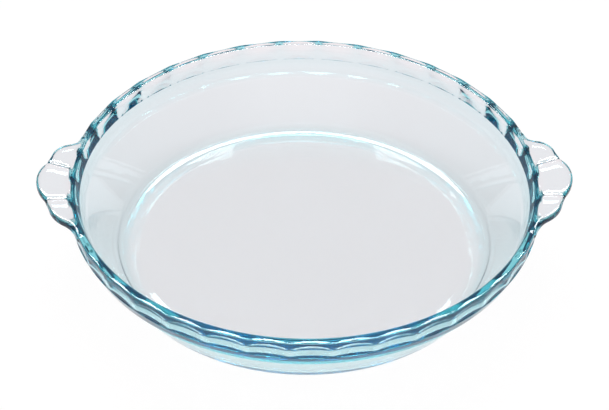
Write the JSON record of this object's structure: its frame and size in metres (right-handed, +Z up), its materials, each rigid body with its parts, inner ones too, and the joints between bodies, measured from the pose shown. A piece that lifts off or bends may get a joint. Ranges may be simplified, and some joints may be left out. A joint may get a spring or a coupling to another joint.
{
  "type": "pie dish",
  "caption": "Round shallow pie dish of clear pressed glass with a flared wall, a fluted collar under the rim and a scalloped lug handle on each side.",
  "frame": {"origin": "middle of the resting face, on the surface that the dish stands on", "axes": "+Z up out of the mouth, +X along the line through both handles, +Y across it"},
  "size_m": [0.2618, 0.2316, 0.046],
  "materials": {
    "glass": "fire-polished, smooth"
  },
  "bodies": {
    "root": {"dish": "glass"}
  },
  "joints": []
}
